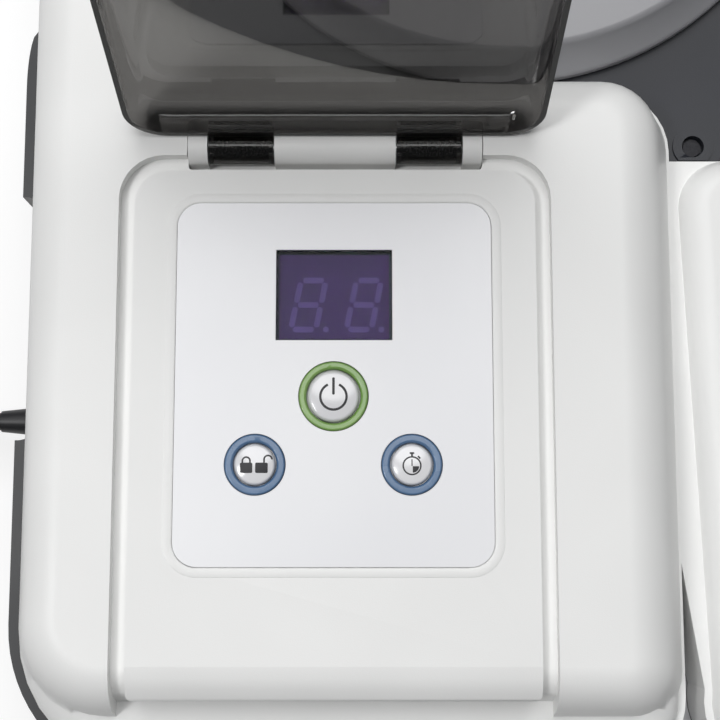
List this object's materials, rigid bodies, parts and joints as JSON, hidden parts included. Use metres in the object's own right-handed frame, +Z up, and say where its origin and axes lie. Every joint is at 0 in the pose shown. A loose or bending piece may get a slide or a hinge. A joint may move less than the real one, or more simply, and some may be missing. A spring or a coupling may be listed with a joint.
{
  "type": "filament dryer",
  "caption": "Free-standing heated filament dryer with a round hinged-lid chamber, a turntable, a control console under a sprung smoked cover and a mains lead",
  "frame": {"origin": "centre of the base tray's footprint on the surface it stands on", "axes": "+X to the right seen from the front, +Y to the back, +Z up; the console and its buttons face up near the front (-Y)"},
  "size_m": [0.495, 0.526, 0.3145],
  "materials": {
    "white_shell": "fine moulded texture",
    "black_shell": "moulded, near black",
    "dark_deck": "moulded, navy grey",
    "lid_white": "smooth",
    "panel_silver": "silver lacquer, cool tint",
    "button_white": "domed and glossy",
    "ring_green": "tinted light ring",
    "ring_blue": "tinted light ring",
    "window_violet": "dark violet filter",
    "smoked": "smoked clear plastic",
    "steel": "bright steel",
    "sheet_alu": "drawn sheet",
    "felt": "needled insulation",
    "seal_grey": "silicone",
    "foot_rubber": "moulded",
    "cord_black": "flexible jacket",
    "brass_fit": "turned",
    "tube_white": "translucent tube",
    "board_green": "solder mask",
    "board_tan": "paper laminate",
    "part_black": "moulded",
    "ceramic": "heater fins",
    "sensor_blue": "sensor board"
  },
  "bodies": {
    "root": {"base_tray": "black_shell", "rubber_feet": "foot_rubber", "base_screws": "steel", "upper_housing": "white_shell", "deck_plate": "dark_deck", "deck_screws": "steel", "outlet_block": "black_shell", "outlet_fitting": "brass_fit", "guide_tube": "tube_white", "panel_plate": "panel_silver", "display_window": "window_violet", "display_module": "part_black", "control_board": "board_green", "tact_switches": "part_black", "power_ring": "ring_green", "lock_ring": "ring_blue", "timer_ring": "ring_blue", "hinge_mount": "white_shell", "hinge_pin": "steel", "hinge_springs": "steel", "chamber_bowl": "sheet_alu", "bowl_jacket": "felt", "lid_seal": "seal_grey", "lid_bracket": "white_shell", "lid_pin": "steel", "spindle": "steel", "blower_housing": "part_black", "blower_motor": "sheet_alu", "heater_duct": "sheet_alu", "ptc_heater": "ceramic", "thermal_cutout": "tube_white", "humidity_sensor": "sensor_blue", "power_board": "board_tan", "strain_relief": "cord_black", "power_cord": "cord_black", "cord_coil": "cord_black", "plug_body": "cord_black", "plug_pins": "steel"},
    "lid": {"chamber_lid": "lid_white"},
    "turntable": {"turntable": "part_black", "spool_hub": "part_black", "table_bearing": "steel"},
    "impeller": {"blower_impeller": "part_black"},
    "cover": {"flip_cover": "smoked"},
    "power_button": {"power_button": "button_white"},
    "lock_button": {"lock_button": "button_white"},
    "timer_button": {"timer_button": "button_white"}
  },
  "joints": [
    {"name": "lid_hinge", "type": "hinge", "parent": "root", "child": "lid", "pos_m": [0, 0.234, 0.097], "axis": [-1, 0, 0], "range_deg": [0, 95]},
    {"name": "table_spin", "type": "hinge", "parent": "root", "child": "turntable", "pos_m": [0, 0.108, 0.03], "axis": [0, 0, 1], "continuous": true},
    {"name": "fan_spin", "type": "hinge", "parent": "root", "child": "impeller", "pos_m": [-0.052, -0.082, 0.02], "axis": [0, 0, 1], "continuous": true},
    {"name": "cover_hinge", "type": "hinge", "parent": "root", "child": "cover", "pos_m": [-0.061, -0.0407, 0.113], "axis": [1, 0, 0], "range_deg": [0, 105]},
    {"name": "power_button_press", "type": "slide", "parent": "root", "child": "power_button", "axis": [0, 0, -1], "range_m": [0, 0.0008], "stiffness_N_per_m": 300},
    {"name": "lock_button_press", "type": "slide", "parent": "root", "child": "lock_button", "axis": [0, 0, -1], "range_m": [0, 0.0008], "stiffness_N_per_m": 300},
    {"name": "timer_button_press", "type": "slide", "parent": "root", "child": "timer_button", "axis": [0, 0, -1], "range_m": [0, 0.0008], "stiffness_N_per_m": 300}
  ]
}
